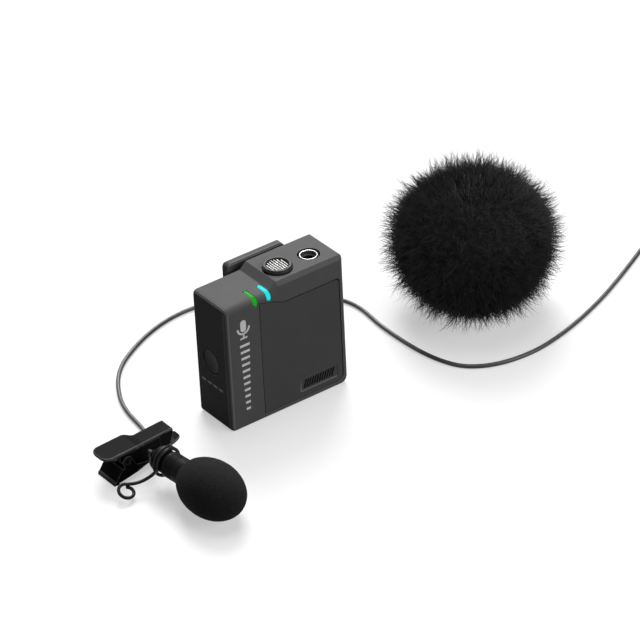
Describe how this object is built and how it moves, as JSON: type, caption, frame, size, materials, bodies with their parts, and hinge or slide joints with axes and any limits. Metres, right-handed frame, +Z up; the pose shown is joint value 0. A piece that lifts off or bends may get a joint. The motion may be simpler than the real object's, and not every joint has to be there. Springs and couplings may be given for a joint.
{
  "type": "lavalier microphone",
  "caption": "Wireless lavalier microphone set: clip-on transmitter with built-in mic, lapel mic in a sprung clip with foam windscreen, lead with plug, and a loose fur windscreen.",
  "frame": {"origin": "middle of the transmitter's bottom face, which stands on the floor", "axes": "+X to the right along the transmitter's front face, +Y from its front to its back, +Z up"},
  "size_m": [0.2319, 0.1144, 0.048],
  "materials": {
    "case_black": "fine matt texture, near-black",
    "panel_black": "smooth satin, near-black",
    "black_metal": "black coated steel, slight gloss",
    "light_green": "green light guide",
    "light_cyan": "cyan light guide, lit",
    "dark_plastic": "fine matt black",
    "silver": "bare nickel-plated metal",
    "board_green": "green solder mask",
    "cell_grey": "silver-grey foil pouch",
    "gold": "gold-plated",
    "spring_steel": "bare spring steel",
    "clip_black": "satin black coating",
    "rubber_black": "matt black",
    "insulator_black": "black",
    "foam_black": "open-cell foam, matt black",
    "fur_black": "long-pile artificial fur, black"
  },
  "bodies": {
    "set": {"back_cover": "case_black", "battery": "cell_grey", "belt_clip_pin": "spring_steel", "belt_clip_spring": "spring_steel", "charging_contacts": "gold", "circuit_board": "board_green", "cover_screw_1": "black_metal", "cover_screw_2": "black_metal", "cover_screw_3": "black_metal", "cover_screw_4": "black_metal", "front_panel": "panel_black", "fur_windscreen": "fur_black", "holder_wire": "black_metal", "housing": "case_black", "jack_body": "dark_plastic", "jack_bushing": "silver", "lapel_clip_lower_jaw": "clip_black", "lapel_clip_pin": "spring_steel", "lapel_clip_spring": "spring_steel", "lead": "rubber_black", "lead_coil": "rubber_black", "mic_bezel": "dark_plastic", "mic_mesh": "silver", "mute_switch": "silver", "onboard_capsule": "silver", "plug_insulator_1": "insulator_black", "plug_insulator_2": "insulator_black", "plug_ring": "gold", "plug_shell": "dark_plastic", "plug_sleeve": "gold", "plug_strain_relief": "rubber_black", "plug_tip": "gold", "power_switch": "silver", "radio_shield": "silver", "status_light_cyan": "light_cyan", "status_light_green": "light_green", "windscreen_socket": "rubber_black"},
    "belt_clip": {"belt_clip": "case_black"},
    "mute_button": {"mute_button": "dark_plastic"},
    "power_button": {"power_button": "dark_plastic"},
    "upper_jaw": {"lapel_clip_upper_jaw": "clip_black"},
    "lavalier": {"lavalier_body": "dark_plastic", "lavalier_grille": "black_metal", "electret_capsule": "silver", "lavalier_strain_relief": "rubber_black"},
    "foam": {"foam_windscreen": "foam_black"}
  },
  "joints": [
    {"name": "belt_clip_hinge", "type": "hinge", "parent": "set", "child": "belt_clip", "pos_m": [0.0034, 0.0097, 0.03], "axis": [1, 0, 0], "range_deg": [0, 10], "stiffness_Nm_per_rad": 0.05, "springref_deg": -34.38, "deforming": ["belt_clip_spring"]},
    {"name": "mute_button_press", "type": "slide", "parent": "set", "child": "mute_button", "axis": [1, 0, 0], "range_m": [0, 0.0004], "stiffness_N_per_m": 200, "springref_m": -0.001},
    {"name": "power_button_press", "type": "slide", "parent": "set", "child": "power_button", "axis": [-1, 0, 0], "range_m": [0, 0.0004], "stiffness_N_per_m": 200, "springref_m": -0.001},
    {"name": "lapel_clip_hinge", "type": "hinge", "parent": "set", "child": "upper_jaw", "pos_m": [-0.0576, -0.0039, 0.0064], "axis": [0, -1, 0], "range_deg": [0, 22], "stiffness_Nm_per_rad": 0.02, "springref_deg": -28.65, "deforming": ["lapel_clip_spring"]},
    {"name": "capsule_turn", "type": "hinge", "parent": "set", "child": "lavalier", "pos_m": [-0.0507, -0.0179, 0.0085], "axis": [0.0993, -0.9951, 0], "range_deg": [-90, 90]},
    {"name": "foam_pull", "type": "slide", "parent": "lavalier", "child": "foam", "axis": [0.0993, -0.9951, 0], "range_m": [0, 0.016]}
  ]
}
